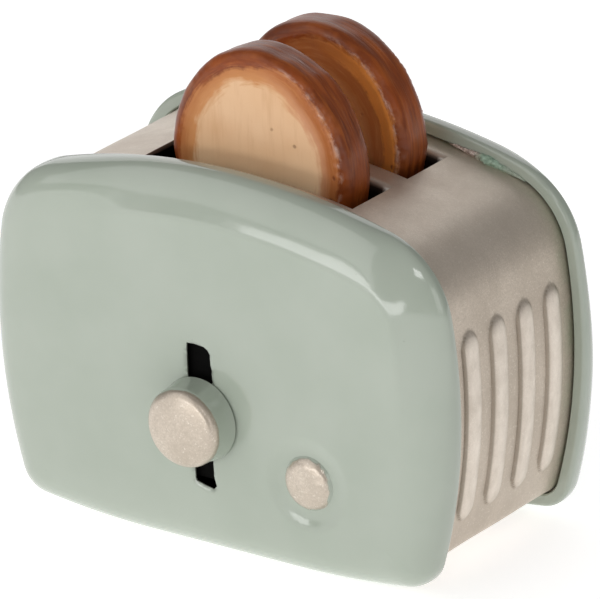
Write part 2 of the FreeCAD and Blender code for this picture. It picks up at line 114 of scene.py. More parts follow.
def mergeClose(obj, distance=0.002):
    # joins doubled vertices and points all faces outwards
    bm = bmesh.new()
    bm.from_mesh(obj.data)
    bmesh.ops.remove_doubles(bm, verts=bm.verts, dist=distance * milli)
    loose = [v for v in bm.verts if not v.link_faces]
    bmesh.ops.delete(bm, geom=loose, context="VERTS")
    bmesh.ops.recalc_face_normals(bm, faces=bm.faces)
    bm.to_mesh(obj.data)
    bm.free()


def applyModifiers(obj):
    # the evaluated mesh becomes the object's own
    graph = bpy.context.evaluated_depsgraph_get()
    mesh = bpy.data.meshes.new_from_object(obj.evaluated_get(graph))
    obj.modifiers.clear()
    obj.data = mesh


def sharpByAngle(obj, degrees):
    # edges that turn by more than the angle are shaded sharp
    bm = bmesh.new()
    bm.from_mesh(obj.data)
    for edge in bm.edges:
        edge.smooth = len(edge.link_faces) != 2 or edge.calc_face_angle(0.0) < math.radians(degrees)
    bm.to_mesh(obj.data)
    bm.free()


def signedVolume(obj):
    bm = bmesh.new()
    bm.from_mesh(obj.data)
    volume = bm.calc_volume(signed=True)
    bm.free()
    return volume


def faceOutwards(obj):
    if signedVolume(obj) < 0:
        obj.data.flip_normals()


# case outline: arcs given as base points with outward normals, so an inset is base - inset * normal

def arc(centre, radius, a0, a1, count):
    # evenly spaced points on a circle, end left out
    a = np.linspace(a0, a1, count, endpoint=False)
    n = np.stack([np.cos(a), np.sin(a)], 1)
    return np.array(centre) + radius * n, n


def filletCentre(a, ra, b, rb, up):
    # where two circles about a and b cross, at the right
    a, b = np.array(a), np.array(b)
    gap = np.linalg.norm(b - a)
    along = (ra ** 2 - rb ** 2 + gap ** 2) / (2 * gap)
    across = math.sqrt(ra ** 2 - along ** 2)
    way = (b - a) / gap
    side = np.array([-way[1], way[0]])
    ends = [a + along * way + s * across * side for s in (1, -1)]
    return max(ends, key=lambda p: p[0] + up * p[1])


def caseOutline(slotHalf, topBand):
    # closed outline from the right end of the standing flat, anticlockwise from the front
    c = case
    top = np.array([0, c["height"] - c["topBow"]])
    side = np.array([c["halfWidth"] - c["sideBow"], c["sideBowHeight"]])
    foot = np.array([c["standHalf"], c["bottomBow"]])
    upper = filletCentre(top, c["topBow"] - c["topCorner"], side, c["sideBow"] - c["topCorner"], 1)
    lower = filletCentre(foot, c["bottomBow"] - c["bottomCorner"], side, c["sideBow"] - c["bottomCorner"], -1)
    angle = lambda p, q: math.atan2(*(q - p)[::-1])
    t1, t2 = angle(foot, lower), angle(side, lower)
    t3, t4 = angle(side, upper), angle(top, upper)
    t5 = math.acos(slotHalf / topBand)
    right = [arc(foot, c["bottomBow"], -math.pi / 2, t1, 16), arc(lower, c["bottomCorner"], t1, t2, 14),
             arc(side, c["sideBow"], t2, t3, 92), arc(upper, c["topCorner"], t3, t4, 30),
             arc(top, c["topBow"], t4, t5, 14), arc(top, c["topBow"], t5, math.pi / 2, 30)]
    base = np.concatenate([p for p, n in right])
    normal = np.concatenate([n for p, n in right])
    crown = np.array([[0, c["height"]]]), np.array([[0.0, 1.0]])
    base = np.concatenate([base, crown[0], base[::-1] * [-1, 1]])
    normal = np.concatenate([normal, crown[1], normal[::-1] * [-1, 1]])
    flat = np.linspace(-c["standHalf"], c["standHalf"], 12)[1:-1]
    base = np.concatenate([base, np.stack([flat, 0 * flat], 1)])
    normal = np.concatenate([normal, np.tile([0.0, -1.0], (len(flat), 1))])
    return base, normal


slots = {
    "halfLength": 11.8,
    "width": 5.6,
    "bridge": 3.0,
    "setback": 0.3,
    "bend": 0.6,
    "lip": 2.2,
}
band = {
    "inset": 1.4,
    "sheet": 0.45,
    "flangeInset": 0.65,
    "returnHalfGap": case["halfWidth"] - 10.0,
    "ribPitch": 4.3,
    "ribHalfWidth": 1.25,
    "ribShift": 0.3,
    "ribHeight": 0.45,
    "ribPower": 0.42,
    "ribLow": 6.4,
    "ribHigh": 24.0,
    "fineStep": 0.12,
    "wideStep": 0.42,
}
outlineBase, outlineNormal = caseOutline(slots["halfLength"], case["topBow"] - band["inset"])


def bandColumns(stops):
    # y stations from stop to stop: close together over the ribs' flanks, wide apart between them
    half = band["ribHalfWidth"] + 0.15
    centres = [midY + band["ribShift"] + (k - 1.5) * band["ribPitch"] for k in range(4)]
    cuts = sorted(stops + [c + s * half for c in centres for s in (-1, 1)])
    y = [cuts[0]]
    for a, b in zip(cuts, cuts[1:]):
        inRib = any(abs((a + b) / 2 - c) < half for c in centres)
        count = max(1, int(round((b - a) / band["fineStep" if inRib else "wideStep"])))
        y += [a + (b - a) * (k + 1) / count for k in range(count)]
    return np.array(y)


def setAttribute(obj, name, values):
    layer = obj.data.attributes.new(name, "FLOAT", "POINT")
    layer.data.foreach_set("value", np.asarray(values, np.float32))


def makeBand():
    # band = outline inset by a constant, pushed outwards by ribHeight * (1 - (d / halfWidth)^2)^ribPower near each rib
    slotsY = midY + slots["setback"]
    near, far = slots["bridge"] / 2 - slots["bend"], slots["bridge"] / 2 + slots["width"] + slots["bend"]
    edges = [slotsY - far, slotsY - near, slotsY + near, slotsY + far]
    y = bandColumns([bandLow[1]] + edges + [bandHigh[1]])
    rows, cols = len(outlineBase), len(y)
    base = outlineBase - band["inset"] * outlineNormal
    z = base[:, 1]
    ribMiddle = (band["ribLow"] + band["ribHigh"]) / 2
    ribHalf = (band["ribHigh"] - band["ribLow"]) / 2 - band["ribHalfWidth"]
    past = np.maximum(0, np.abs(z - ribMiddle) - ribHalf)
    onSide = np.abs(outlineNormal[:, 0]) > 0.8
    lift = np.zeros((rows, cols))
    for k in range(4):
        across = y - (midY + band["ribShift"] + (k - 1.5) * band["ribPitch"])
        d2 = (0.6 * past[:, None] ** 2 + across[None, :] ** 2) / band["ribHalfWidth"] ** 2
        lift += band["ribHeight"] * np.clip(1 - d2, 0, 1) ** band["ribPower"] * onSide[:, None]
    crest = np.pad(lift / band["ribHeight"], ((0, 0), (1, 1)))
    flank = np.pad(np.gradient(lift, y, axis=1) * band["ribHalfWidth"] / band["ribHeight"], ((0, 0), (1, 1)))
    # the sheet is a little uneven by hand pressing
    grid = np.stack([np.repeat(base[:, 0], cols), np.tile(y, rows), np.repeat(z, cols)], 1)
    uneven = waves(grid, 15.0, 4, 2).reshape(rows, cols) * 0.035 - 0.04
    lift += uneven * smoothStep(0, 2, y - bandLow[1]) * smoothStep(0, 2, bandHigh[1] - y)
    shape = base[:, None, :] + lift[:, :, None] * outlineNormal[:, None, :]
    points = np.stack([shape[..., 0], np.broadcast_to(y, (rows, cols)), shape[..., 1]], -1)
    # flange rows at both ends turn outwards behind the covers' rims
    flange = outlineBase - band["flangeInset"] * outlineNormal
    ends = [np.stack([flange[:, 0], np.full(rows, v), flange[:, 1]], -1)[:, None] for v in (bandLow[1], bandHigh[1])]
    points = np.concatenate([ends[0], points, ends[1]], 1)
    yAll = np.concatenate([[bandLow[1]], y, [bandHigh[1]]])
    cols += 2
    nextRow = np.roll(np.arange(rows), -1)
    midX = (base[:, 0] + base[nextRow, 0]) / 2
    midZ = (base[:, 1] + base[nextRow, 1]) / 2
    midCol = (yAll[:-1] + yAll[1:]) / 2
    inSlot = ((midCol > edges[0]) & (midCol < edges[1])) | ((midCol > edges[2]) & (midCol < edges[3]))
    onCrown = (np.abs(midX) < slots["halfLength"]) & (midZ > case["height"] / 2)
    gap = ((np.abs(midX) < band["returnHalfGap"]) & (midZ < case["height"] / 4))[:, None]
    verts = [points.reshape(-1, 3)]
    fold = [np.zeros(rows * cols)]
    allFaces = [gridFaces(rows, cols, wrapRows=True, keep=~(onCrown[:, None] & inSlot[None, :] | gap))]
    offset = rows * cols
    # folded edges: quarter bend of radius bend, then straight down
    onTop = np.where((np.abs(base[:, 0]) < slots["halfLength"] + 1e-6) & (z > case["height"] / 2))[0]
    turn = np.linspace(0, math.pi / 2, 7)
    for edge, way in zip(edges, (1, -1, 1, -1)):
        inward = np.concatenate([slots["bend"] * np.sin(turn), [slots["bend"]] * 3])
        down = np.concatenate([slots["bend"] * (1 - np.cos(turn)),
                               np.linspace(slots["bend"], slots["lip"], 4)[1:]])
        ring = base[onTop][:, None, :] - down[None, :, None] * outlineNormal[onTop][:, None, :]
        lipY = np.broadcast_to(edge + way * inward, ring.shape[:2])
        strip = np.stack([ring[..., 0], lipY, ring[..., 1]], -1)
        near = np.argmin(np.abs(y - edge)) + 1
        nudge = points[onTop, near] - np.stack([base[onTop, 0], np.full(len(onTop), edge), z[onTop]], -1)
        strip += nudge[:, None]
        verts.append(strip.reshape(-1, 3))
        fold.append(np.broadcast_to(smoothStep(0.1, 0.75, down), strip.shape[:2]).ravel())
        allFaces.append(gridFaces(len(onTop), len(down)) + offset)
        offset += strip.shape[0] * strip.shape[1]
    obj = newObject("bandSkin", np.concatenate(verts), np.concatenate(allFaces).tolist(), "housing")
    setAttribute(obj, "inside", np.concatenate(fold))
    plain = np.zeros(sum(map(len, fold)) - rows * cols)
    setAttribute(obj, "crest", np.concatenate([crest.ravel(), plain]))
    setAttribute(obj, "flank", np.concatenate([flank.ravel(), plain]))
    mergeClose(obj)
    if max(obj.data.polygons, key=lambda p: p.center.x).normal.x < 0:
        obj.data.flip_normals()
    outerCount = len(obj.data.vertices)
    wall = obj.modifiers.new("sheet", "SOLIDIFY")
    wall.thickness = band["sheet"] * milli
    wall.offset = -1
    applyModifiers(obj)
    values = np.zeros(len(obj.data.vertices), np.float32)
    obj.data.attributes["inside"].data.foreach_get("value", values)
    values[outerCount:] = 1
    obj.data.attributes["inside"].data.foreach_set("value", values)
    sharpByAngle(obj, 50)
    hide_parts("body_shell")
    return obj


cover = {
    "sheet": 0.5,
    "depth": 3.9,
    "edgeAcross": 2.9,
    "edgeDeep": 2.9,
    "edgePower": 2.15,
    "creaseInset": 4.3,
    "creaseSlope": 0.05,
    "crownGrowth": 0.018,
    "rollSlope": 0.28,
    "rollPower": 2.6,
    "rimRadius": 0.45,
    "openingInset": 1.25,
    "fillInset": 3.2,
}
button = {
    "x": 10.5,
    "z": 9.5,
    "radius": 2.4,
    "height": 0.7,
    "dish": 4.2,
    "dishDepth": 0.36,
}
rimCrown = (cover["creaseInset"] - cover["edgeAcross"]) * cover["creaseSlope"]
rimCrown += cover["crownGrowth"] * (cover["creaseInset"] - cover["edgeAcross"]) ** 2
rimCrown += (cover["creaseSlope"] / 2 + cover["crownGrowth"] * (cover["creaseInset"] - cover["edgeAcross"])) \
    * cover["edgeAcross"]
leverSlot = {
    "left": -1.95,
    "right": 0.15,
    "lean": 0.55,
    "low": 6.6,
    "high": 20.4,
    "lipRound": 0.16,
}


def slotOutline():
    # nibbled slot as seen from the front: straight leaning left edge, ragged right edge and ends
    s = leverSlot
    l, r, a, b, t = s["left"], s["right"], s["low"], s["high"], s["left"] - s["lean"]
    corners = np.array([(l, a + 0.68), (l + 0.12, a + 0.45), (l + 1.0, a + 0.2), (r - 0.12, a), (r + 0.24, a + 0.36),
                        (r + 0.1, a + 0.8), (r - 0.03, a + 1.35), (r - 0.06, a + 2.6), (r - 0.03, a + 4.0),
                        (r - 0.03, b - 5.2), (r - 0.06, b - 4.1), (r - 0.05, b - 3.55), (r + 0.16, b - 3.3),
                        (r + 0.12, b - 2.9), (r + 0.1, b - 2.2), (r - 0.03, b - 1.7), (r - 0.05, b - 0.68),
                        (r - 0.3, b - 0.3), (r - 0.7, b - 0.04), (t + 0.9, b + 0.06), (t + 0.05, b),
                        (t + 0.03, b - 0.4), (t + 0.04, b - 3.0), (l - 0.1, (a + b) / 2)])
    points = []
    for p, q in zip(corners, np.roll(corners, -1, 0)):
        count = max(1, int(np.linalg.norm(q - p) / 0.28))
        points += [p + (q - p) * k / count for k in range(count)]
    points = np.array(points)
    rough = (waves(points, 1.1, 11, 2) + 1) * 0.025 * smoothStep(l + 0.4, r - 0.3, points[:, 0])
    points[:, 0] += rough
    return points


def edgeDepth(inset):
    # superellipse edge: depth below the face at an inset
    c = cover
    near = np.clip((c["edgeAcross"] - inset) / c["edgeAcross"], 0, 1)
    return c["edgeDeep"] * (1 - (1 - near ** c["edgePower"]) ** (1 / c["edgePower"]))


def crownDepth(inset, x, z):
    # left and below, past the crease with u = creaseInset - inset: creaseSlope * u + crownGrowth * u^2, easing off
    # over the edge; above and at the right a wide roll: slope * u + rest * (1 - (1 - (u / creaseInset)^p)^(1/p))
    c = cover
    reach = c["creaseInset"] - c["edgeAcross"]
    steep = c["creaseSlope"] + 2 * c["crownGrowth"] * reach
    u = np.clip(c["creaseInset"] - inset, 0, reach)
    over = np.clip(c["edgeAcross"] - inset, 0, None)
    narrow = c["creaseSlope"] * u + c["crownGrowth"] * u ** 2 + steep * over * (1 - over / (2 * c["edgeAcross"]))
    whole = c["edgeDeep"] + rimCrown
    above = smoothStep(14, 28, z)
    right = smoothStep(8, 20, x) * smoothStep(3, 12, z)
    wide = 1 - (1 - above) * (1 - 0.6 * right)
    slope = c["rollSlope"] * smoothStep(-16, -6, x) * (0.5 + 0.5 * smoothStep(4, 24, z))
    slope = slope * (1 - 0.07 * smoothStep(11, 15, x) + 0.72 * smoothStep(16.8, 20.2, x) * smoothStep(11, 25, z))
    power = c["rollPower"] - 0.6 * smoothStep(15, 19, x)
    part = np.clip(1 - inset / c["creaseInset"], 0, 1)
    roll = slope * part * c["creaseInset"]
    roll = roll + (whole - slope * c["creaseInset"]) * (1 - (1 - part ** power) ** (1 / power))
    return narrow + wide * (roll - narrow - edgeDepth(inset))


def faceDepth(x, z, plain):
    # dish and boss about the button: dishDepth * bowl - height * (1 - (d / radius)^4)^0.5, and faint dents
    points = np.stack([x, z], 1)
    depth = np.maximum(waves(points, 17.0, 61 if plain else 62, 2) * 0.012 + 0.012, 0.002)
    if not plain:
        d = np.hypot(x - button["x"], z - button["z"])
        bowl = smoothStep(button["dish"] + 0.5, button["dish"] - 1.3, d)
        boss = np.sqrt(np.clip(1 - (d / (button["radius"] + 0.1)) ** 4, 0, 1))
        depth += button["dishDepth"] * bowl - button["height"] * boss
        away = np.clip(d / button["radius"], 0, 1)
        depth += waves(points, 1.5, 21, 2) * 0.03 * (1 - away ** 4)
    return depth


def edgeProfile():
    # sheet section from the face outwards as (inset, depth): superellipse edge, wall, rolled rim, flange, then the inside
    c = cover
    t = np.linspace(0, math.pi / 2, 26)
    across = c["edgeAcross"] * (1 - np.sin(t) ** (2 / c["edgePower"]))
    deep = c["edgeDeep"] * (1 - np.cos(t) ** (2 / c["edgePower"]))
    outer = np.stack([across, deep], 1)
    u = np.linspace(0, math.pi / 2, 7)
    r = c["rimRadius"]
    top = c["depth"] - rimCrown
    rim = np.stack([r - r * np.cos(u), top - r + r * np.sin(u)], 1)
    lip = np.array([[c["openingInset"] - 0.12, top], [c["openingInset"], top - 0.12]])
    outer = np.concatenate([[[c["fillInset"], 0]], outer, rim, lip])
    s = c["sheet"]
    back = np.array([[c["openingInset"], top - s], [s + 0.25, top - s], [s, top - s - 0.25]])
    inner = np.stack([s + np.maximum(0, across - 0.25), s + np.clip(deep - 0.3, 0, None)], 1)[::-1]
    inner = inner[inner[:, 1] < top - s - 0.3]
    return outer, np.concatenate([back, inner, [[c["fillInset"], s]]])


def faceFill(ring, holes, seeds):
    # flat filling between the ring and the holes: constrained Delaunay over the seed points
    from mathutils.geometry import delaunay_2d_cdt
    loops = [ring] + holes
    verts, edges = [], []
    for loop in loops:
        start = len(verts)
        verts += [Vector(p) for p in loop]
        edges += [(start + k, start + (k + 1) % len(loop)) for k in range(len(loop))]
    verts += [Vector(p) for p in seeds]
    outVerts, _, outFaces, *_ = delaunay_2d_cdt(verts, edges, [], 1, 1e-5)
    outVerts = np.array([tuple(v) for v in outVerts])
    outFaces = np.array([f[:] for f in outFaces])
    middle = outVerts[outFaces].mean(1)
    keep = np.ones(len(outFaces), bool)
    for hole in holes:
        keep &= ~insideLoop(middle, hole)
    keep &= insideLoop(middle, ring)
    return outVerts, outFaces[keep]


def insideLoop(points, loop):
    # even-odd crossing test of many points against one closed loop
    x, z = points[:, 0], points[:, 1]
    inside = np.zeros(len(points), bool)
    for (x1, z1), (x2, z2) in zip(loop, np.roll(loop, -1, 0)):
        cross = ((z1 > z) != (z2 > z))
        with np.errstate(divide="ignore", invalid="ignore"):
            at = (x2 - x1) * (z - z1) / (z2 - z1) + x1
        inside ^= cross & (x < at)
    return inside


def insetAt(points):
    # distance of each face point from the case outline
    dense = np.concatenate([outlineBase + (np.roll(outlineBase, -1, 0) - outlineBase) * k / 4 for k in range(4)])
    return np.concatenate([np.min(np.linalg.norm(part[:, None] - dense[None], axis=2), 1)
                           for part in np.array_split(points, 12)])


def makeCover(name, node, faceY, way, plain):
    # rings of the outline swept along the sheet's section, plus a filled face outside and inside
    outer, inner = edgeProfile()
    section = np.concatenate([outer, inner])
    rows = len(outlineBase)
    rings = []
    for k, (inset, depth) in enumerate(section):
        p = outlineBase - inset * outlineNormal
        fadeFrom = cover["edgeDeep"] if k < len(outer) else 1.6
        fade = 1 - smoothStep(fadeFrom, fadeFrom + 0.3, depth)
        depth = depth + crownDepth(inset, p[:, 0], p[:, 1]) * fade + rimCrown * (1 - fade)
        if k >= len(outer):
            # the inner skin stays under the rolled outer one
            depth = np.maximum(depth, edgeDepth(inset) + crownDepth(inset, p[:, 0], p[:, 1]) + cover["sheet"] / 2)
        depth = depth + faceDepth(p[:, 0], p[:, 1], plain) * smoothStep(1.6, 3.2, inset)
        rings.append(np.stack([p[:, 0], faceY + way * depth, p[:, 1]], -1))
    verts = [np.array(rings).reshape(-1, 3)]
    inside = [np.repeat(np.arange(len(section)) >= len(outer) + 1, rows).astype(float)]
    faces = [gridFaces(len(rings), rows, wrapCols=True)]
    offset = len(rings) * rows
    ring = outlineBase - cover["fillInset"] * outlineNormal
    holes = []
    low, high = ring.min(0), ring.max(0)
    gx, gz = np.meshgrid(np.arange(low[0] + 1, high[0], 1.1), np.arange(low[1] + 1, high[1], 1.1))
    grid = np.stack([gx.ravel(), gz.ravel()], 1)
    bands = [outlineBase[::2] - inset * outlineNormal[::2] for inset in np.arange(3.5, 7.3, 0.4)]
    if not plain:
        hole = slotOutline()
        holes.append(hole)
        spin = [(r, np.linspace(0, 2 * np.pi, int(12 + r * 24), endpoint=False)) for r in np.arange(0.2, 5.4, 0.16)]
        circles = np.concatenate([np.stack([button["x"] + r * np.cos(a), button["z"] + r * np.sin(a)], 1)
                                  for r, a in spin])
    deep = insetAt(grid)
    seeds = [grid[deep > 7.5]] + bands
    if not plain:
        far = [np.hypot(p[:, 0] - button["x"], p[:, 1] - button["z"]) > 5.5 for p in seeds]
        seeds = [p[keep] for p, keep in zip(seeds, far)] + [circles[insetAt(circles) > cover["fillInset"] + 0.25]]
    seeds = np.concatenate(seeds)
    seeds = seeds[insideLoop(seeds, ring)]
    if not plain:
        along = np.roll(hole, -1, 0) - np.roll(hole, 1, 0)
        away = np.stack([along[:, 1], -along[:, 0]], 1) / np.linalg.norm(along, axis=1)[:, None]
        seeds = np.concatenate([seeds] + [hole + reach * away for reach in (0.34, 0.62, 1.0)])
        gap = np.min(np.linalg.norm(seeds[:, None] - hole[None], axis=2), 1)
        seeds = seeds[(gap > 0.32) & ~insideLoop(seeds, hole)]
    for depth, isBack in ((0.0, False), (cover["sheet"], True)):
        flat, tris = faceFill(ring, holes, seeds)
        y = depth + faceDepth(flat[:, 0], flat[:, 1], plain) + crownDepth(insetAt(flat), flat[:, 0], flat[:, 1])
        if holes:
            fromEdge = np.min(np.linalg.norm(flat[:, None] - hole[None], axis=2), 1)
            y += (-1 if isBack else 1) * leverSlot["lipRound"] * np.clip(1 - fromEdge / 0.3, 0, 1)
        verts.append(np.stack([flat[:, 0], faceY + way * y, flat[:, 1]], 1))
        inside.append(np.full(len(flat), float(isBack)))
        faces.append(tris + offset)
        offset += len(flat)
    allFaces = [f for part in faces for f in part.tolist()]
    if holes:
        # the slot's cut wall joins the two skins
        rim = faceDepth(hole[:, 0], hole[:, 1], plain) + crownDepth(insetAt(hole), hole[:, 0], hole[:, 1])
        depths = [leverSlot["lipRound"], cover["sheet"] - leverSlot["lipRound"]]
        wall = np.stack([np.stack([hole[:, 0], faceY + way * (rim + d), hole[:, 1]], 1) for d in depths])
        verts.append(wall.reshape(-1, 3))
        inside.append(np.repeat([0.3, 1.0], len(hole)))
        allFaces += (gridFaces(2, len(hole), wrapCols=True) + offset).tolist()
    obj = newObject(name, np.concatenate(verts), allFaces, "housing")
    setAttribute(obj, "inside", np.concatenate(inside))
    mergeClose(obj)
    faceOutwards(obj)
    sharpByAngle(obj, 40)
    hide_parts(node)
    return obj


knob = {
    "x": -1.1,
    "z": 13.35,
    "radius": 3.97,
    "flare": 0.12,
    "edge": 0.72,
    "dome": 0.5,
    "front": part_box("lever_knob")[0].y / milli,
    "back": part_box("lever_knob")[1].y / milli,
}


def makeKnob():
    # surface of revolution about Y: domed face, rounded edge, drum that flares at the foot, flat back
    k = knob
    t = np.linspace(0, math.pi / 2, 14)
    rim = k["radius"] - k["edge"] - 0.12
    domeR = np.linspace(0.02, rim, 18)
    domeY = k["front"] + k["dome"] * (domeR / rim) ** 2.3 * 0.75
    edgeR = rim + k["edge"] * np.sin(t)
    edgeY = domeY[-1] + 0.16 * np.sin(t) + (k["edge"] + 0.1) * (1 - np.cos(t))
    drumT = np.linspace(0, 1, 16)[1:]
    drumR = edgeR[-1] + 0.12 * drumT + k["flare"] * drumT ** 3
    drumY = edgeY[-1] + (k["back"] - 0.06 - edgeY[-1]) * drumT
    backR = np.array([drumR[-1] - 0.08, 3.0, 0.02])
    backY = np.full(3, k["back"])
    r = np.concatenate([domeR, edgeR[1:], drumR, backR])
    y = np.concatenate([domeY, edgeY[1:], drumY, backY])
    a = np.linspace(0, 2 * np.pi, 144, endpoint=False)
    wobble = 0.992 + 0.005 * np.sin(2 * a + 0.7) + 0.002 * np.sin(5 * a + 2.0)
    x = k["x"] + r[:, None] * np.cos(a) * wobble
    z = k["z"] + r[:, None] * np.sin(a) * wobble
    points = np.stack([x, np.broadcast_to(y[:, None], x.shape), z], -1)
    faces = gridFaces(len(r), len(a), wrapCols=True).tolist()
    count = len(r) * len(a)
    faces.append(list(range(len(a))))
    faces.append(list(range(count - len(a), count))[::-1])
    obj = newObject("knobSkin", points.reshape(-1, 3), faces, "carriage")
    mergeClose(obj, 0.0005)
    faceOutwards(obj)
    sharpByAngle(obj, 50)
    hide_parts("lever_knob")
    return obj


toast = {
    "halfWidth": 9.85,
    "waist": 9.45,
    "waistHeight": 9.0,
    "topRadius": 0.457 * 19.7,
    "shoulder": 0.569 * 19.7,
    "foot": 2.0,
    "corner": 1.15,
    "rimWidth": 0.55,
    "rimProud": 0.12,
    "sunk": 0.14,
}


def toastOutline(height):
    # loaf outline about x = 0 from the bottom: feet, waist, shoulder and crown arcs
    t = toast
    apart = t["topRadius"] - t["shoulder"]
    join = math.acos((t["halfWidth"] - t["shoulder"]) / apart)
    crown = np.array([0.0, height - t["topRadius"]])
    shoulder = crown + apart * np.array([math.cos(join), math.sin(join)])
    foot = np.array([t["waist"] - t["foot"], t["foot"]])
    parts = [arc(foot, t["foot"], -math.pi / 2, 0, 12)]
    z = np.linspace(t["foot"], t["waistHeight"], 20, endpoint=False)
    parts.append((np.stack([np.full(20, t["waist"]), z], 1), np.tile([1.0, 0.0], (20, 1))))
    z = np.linspace(t["waistHeight"], shoulder[1], 16, endpoint=False)
    f = (z - t["waistHeight"]) / (shoulder[1] - t["waistHeight"])
    bow = t["waist"] + (t["halfWidth"] - t["waist"]) * (3 * f ** 2 - 2 * f ** 3)
    parts.append((np.stack([bow, z], 1), np.tile([1.0, 0.0], (16, 1))))
    parts.append(arc(shoulder, t["shoulder"], 0, join, 70))
    parts.append(arc(crown, t["topRadius"], join, math.pi / 2, 44))
    base = np.concatenate([p for p, n in parts] + [np.array([[0.0, height]])])
    normal = np.concatenate([n for p, n in parts] + [np.array([[0.0, 1.0]])])
    base = np.concatenate([base, (base[::-1] * [-1, 1])[1:]])
    normal = np.concatenate([normal, (normal[::-1] * [-1, 1])[1:]])
    flat = np.linspace(-foot[0], foot[0], 20)[1:-1]
    base = np.concatenate([base, np.stack([flat, 0 * flat], 1)])
    normal = np.concatenate([normal, np.tile([0.0, -1.0], (len(flat), 1))])
    return base, normal


def makeToast(name, node, seed):
    # rings from the face's middle over the worn crust rim and round the side to the other face
    low, high = [np.array(c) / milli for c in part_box(node)]
    t = toast
    centre = (low + high) / 2
    half = (high[1] - low[1]) / 2
    base, normal = toastOutline(high[2] - low[2])
    rows = len(base)
    path = np.concatenate([[0], np.cumsum(np.linalg.norm(np.diff(base, axis=0), axis=1))])
    heart = np.array([0.0, (high[2] - low[2]) * 0.5])
    footInset = t["foot"] - 0.25
    u = np.linspace(0, math.pi / 2, 8)
    # half section as (inset, depth below the face): side, rounded corner, uneven rim, sunk face
    side = [(0.0, d) for d in np.linspace(half, t["corner"] + 0.15, 9)]
    corner = [(t["corner"] * (1 - math.cos(a)), t["corner"] * (1 - math.sin(a))) for a in u]
    rim = [(t["corner"] + w * t["rimWidth"], 0.0) for w in (0.12, 0.28, 0.46, 0.64, 0.82, 1.0)]
    inner = [(t["corner"] + t["rimWidth"] + w, 0.0) for w in (0.15, 0.3, 0.5, 0.8, 1.2, 1.7)]
    section = np.array(side + corner + rim + inner)
    rings, edgeValue, acrossValue = [], [], []
    rightness = smoothStep(1.5, 7.0, base[:, 0]) * smoothStep(6, 14, base[:, 1])
    for sign in (-1, 1):
        faceRings = []
        for inset, depth in section:
            flat = base - min(inset, footInset) * normal
            flat += (heart - flat) * max(0.0, inset - footInset) / t["waist"]
            points = np.stack([flat[:, 0], np.full(rows, sign * (half - depth)), flat[:, 1]], 1)
            # slow swell of the whole crust, and small knocks near the corner, stronger at the right
            nearCorner = math.exp(-((inset - t["corner"] * 0.6) / 0.55) ** 2) * float(smoothStep(1.6, 0.4, depth))
            swell = np.minimum(waves(points, 5.0, seed, 2) * 0.07 - 0.085, -0.004)
            knocks = waves(points, 0.8, seed + 1, 3) * (0.012 + 0.08 * rightness) * nearCorner
            sinking = float(smoothStep(t["corner"] + t["rimWidth"] * 0.35, t["corner"] + t["rimWidth"] + 0.6, inset))
            lumps = waves(points, 1.3, seed + 2, 3)
            proud = t["rimProud"] * (0.5 + 0.5 * lumps) * math.exp(-((inset - t["corner"]) / 0.3) ** 2)
            lower = t["sunk"] * sinking * (0.75 + 0.25 * waves(points, 2.4, seed + 3, 2))
            dent = 0.02 * waves(points, 2.0, seed + 4, 2)
            p = flat + (swell + knocks)[:, None] * normal
            down = depth + t["rimProud"] - proud * (0.4 + 0.6 * rightness) + lower + dent - 0.02 + np.clip(-knocks, 0, 1) * 0.6
            y = centre[1] + sign * (half - np.clip(down, 0.0, None)) if depth < half - 0.01 else np.full(rows, centre[1])
            faceRings.append(np.stack([centre[0] + p[:, 0], y, low[2] + p[:, 1]], -1))
            edgeValue.append(np.full(rows, inset - max(0.0, depth - t["corner"])))
            acrossValue.append(np.full(rows, inset + depth))
        last = faceRings[-1]
        middle = np.array([centre[0] + heart[0], 0, low[2] + heart[1]])
        for s in (0.93, 0.84, 0.72, 0.58, 0.42, 0.26, 0.1):
            ring = middle + (last - middle) * s
            ring[:, 1] = last[:, 1].mean() + sign * 0.02 * waves(ring[:, [0, 2]], 5.0, seed + 3, 2)
            faceRings.append(ring)
            edgeValue.append(np.full(rows, section[-1][0] + (1 - s) * 8))
            acrossValue.append(edgeValue[-1])
        rings.append(faceRings)
    front, back = rings
    back = back[1:]
    count = len(front)
    stack = np.array(front[::-1] + back)
    order = lambda values: np.concatenate(values[:count][::-1] + values[count + 1:])
    faces = gridFaces(len(stack), rows, wrapCols=True).tolist()
    total = len(stack) * rows
    verts = np.concatenate([stack.reshape(-1, 3), [stack[0].mean(0)], [stack[-1].mean(0)]])
    faces += [[total, k, (k + 1) % rows] for k in range(rows)]
    faces += [[total + 1, total - rows + (k + 1) % rows, total - rows + k] for k in range(rows)]
    obj = newObject(name, verts, faces, node)
    setAttribute(obj, "fromEdge", np.concatenate([order(edgeValue), [10, 10]]))
    layer = obj.data.attributes.new("strokes", "FLOAT_VECTOR", "POINT")
    strokes = np.stack([np.concatenate([order(acrossValue), [10, 10]]),
                        np.concatenate([np.tile(path, len(stack)), [0, 0]]), np.zeros(total + 2)], 1)
    layer.data.foreach_set("vector", strokes.ravel().astype(np.float32))
    faceOutwards(obj)
    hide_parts(node)
    return obj


seamPaint = {
    "from": 10.6,
    "to": 19.6,
    "inset": 1.2,
    "y": backLow[1] - 0.06,
    "radius": 0.26,
    "blob": 0.28,
    "blobAt": 0.5,
}


